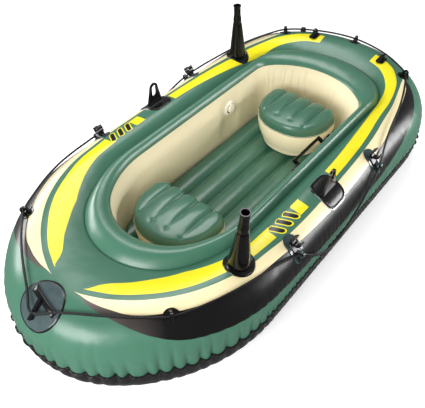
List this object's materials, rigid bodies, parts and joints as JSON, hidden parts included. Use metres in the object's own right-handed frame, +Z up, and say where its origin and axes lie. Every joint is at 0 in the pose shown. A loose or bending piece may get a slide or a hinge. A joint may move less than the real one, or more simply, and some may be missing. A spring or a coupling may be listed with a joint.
{
  "type": "inflatable dinghy",
  "caption": "Two-seat inflatable rowing dinghy with a wide oval tube, inner coaming, tubed floor, loose seat cushions, rowlocks, oar clips, rod holders and a grab rope.",
  "frame": {"origin": "on the ground under the middle of the boat", "axes": "+X to the bow, +Y to port, +Z up"},
  "size_m": [2.5116, 1.2456, 0.6957],
  "materials": {
    "green_pvc": "gloss",
    "black_pvc": "gloss",
    "cream_pvc": "gloss",
    "moulded_black": "gloss",
    "hard_black": "gloss",
    "valve_white": "satin",
    "smoky_pvc": "gloss",
    "rope_black": "matte"
  },
  "bodies": {
    "hull": {"bottom_sheet": "black_pvc", "carry_handle_bases": "moulded_black", "coaming_top": "green_pvc", "coaming_valve_flange": "valve_white", "coaming_valve_stem": "valve_white", "coaming_wall": "cream_pvc", "floor_chamber": "green_pvc", "floor_valve_stem": "valve_white", "grab_rope": "rope_black", "grab_rope_knot": "rope_black", "hull_seam": "black_pvc", "motor_lug_port": "moulded_black", "motor_lug_starboard": "moulded_black", "oar_clip_patch_port_aft": "moulded_black", "oar_clip_patch_port_forward": "moulded_black", "oar_clip_patch_starboard_aft": "moulded_black", "oar_clip_patch_starboard_forward": "moulded_black", "oar_clip_port_aft": "moulded_black", "oar_clip_port_forward": "moulded_black", "oar_clip_starboard_aft": "moulded_black", "oar_clip_starboard_forward": "moulded_black", "outer_chamber_lower": "black_pvc", "outer_chamber_upper": "green_pvc", "outer_valve_flange": "valve_white", "outer_valve_stem": "valve_white", "rod_holder_patch_port": "moulded_black", "rod_holder_patch_starboard": "moulded_black", "rod_holder_socket_port": "hard_black", "rod_holder_socket_starboard": "hard_black", "rope_eye_bow_port": "moulded_black", "rope_eye_bow_starboard": "moulded_black", "rope_eye_stern_centre": "moulded_black", "rope_eye_stern_port": "moulded_black", "rope_eye_stern_starboard": "moulded_black", "rowlock_lug_port": "moulded_black", "rowlock_lug_starboard": "moulded_black", "rowlock_patch_port": "smoky_pvc", "rowlock_patch_starboard": "smoky_pvc", "tow_lug": "moulded_black", "tow_patch": "smoky_pvc"},
    "front_seat": {"front_seat": "green_pvc", "front_seat_valve_stem": "valve_white"},
    "rear_seat": {"rear_seat": "green_pvc", "rear_seat_valve_stem": "valve_white"},
    "front_seat_cap": {"front_seat_valve_cap": "valve_white"},
    "rear_seat_cap": {"rear_seat_valve_cap": "valve_white"},
    "outer_valve_cap": {"outer_valve_cap": "valve_white"},
    "coaming_valve_cap": {"coaming_valve_cap": "valve_white"},
    "floor_valve_cap": {"floor_valve_cap": "valve_white"},
    "rod_tube_port": {"rod_holder_tube_port": "hard_black"},
    "rod_tube_starboard": {"rod_holder_tube_starboard": "hard_black"},
    "carry_handle": {"carry_handle_grip": "moulded_black"}
  },
  "joints": [
    {"name": "front_seat_lift", "type": "slide", "parent": "hull", "child": "front_seat", "axis": [0, 0, 1], "range_m": [0, 0.35]},
    {"name": "front_seat_cap_hinge", "type": "hinge", "parent": "front_seat", "child": "front_seat_cap", "pos_m": [0.31715, 0, 0.20085], "axis": [0, 1, 0], "range_deg": [0, 150]},
    {"name": "rear_seat_lift", "type": "slide", "parent": "hull", "child": "rear_seat", "axis": [0, 0, 1], "range_m": [0, 0.35]},
    {"name": "rear_seat_cap_hinge", "type": "hinge", "parent": "rear_seat", "child": "rear_seat_cap", "pos_m": [-0.65285, 0, 0.20085], "axis": [0, 1, 0], "range_deg": [0, 150]},
    {"name": "outer_valve_cap_hinge", "type": "hinge", "parent": "hull", "child": "outer_valve_cap", "pos_m": [-0.42, -0.61615, 0.245], "axis": [-1, 0, 0], "range_deg": [0, 150]},
    {"name": "coaming_valve_cap_hinge", "type": "hinge", "parent": "hull", "child": "coaming_valve_cap", "pos_m": [-0.336, -0.29085, 0.277], "axis": [1, 0, 0], "range_deg": [0, 150]},
    {"name": "floor_valve_cap_hinge", "type": "hinge", "parent": "hull", "child": "floor_valve_cap", "pos_m": [0.662, 0.01485, 0.07785], "axis": [-1, 0, 0], "range_deg": [0, 150]},
    {"name": "rod_tube_port_turn", "type": "hinge", "parent": "hull", "child": "rod_tube_port", "pos_m": [0.59, 0.445, 0.413], "axis": [0, 0.0523, 0.9986], "continuous": true},
    {"name": "rod_tube_starboard_turn", "type": "hinge", "parent": "hull", "child": "rod_tube_starboard", "pos_m": [-0.59, -0.445, 0.413], "axis": [0, -0.0523, 0.9986], "continuous": true},
    {"name": "carry_handle_swing", "type": "hinge", "parent": "hull", "child": "carry_handle", "pos_m": [-0.19, 0.291, 0.34], "axis": [1, 0, 0], "range_deg": [-50, 110]}
  ]
}
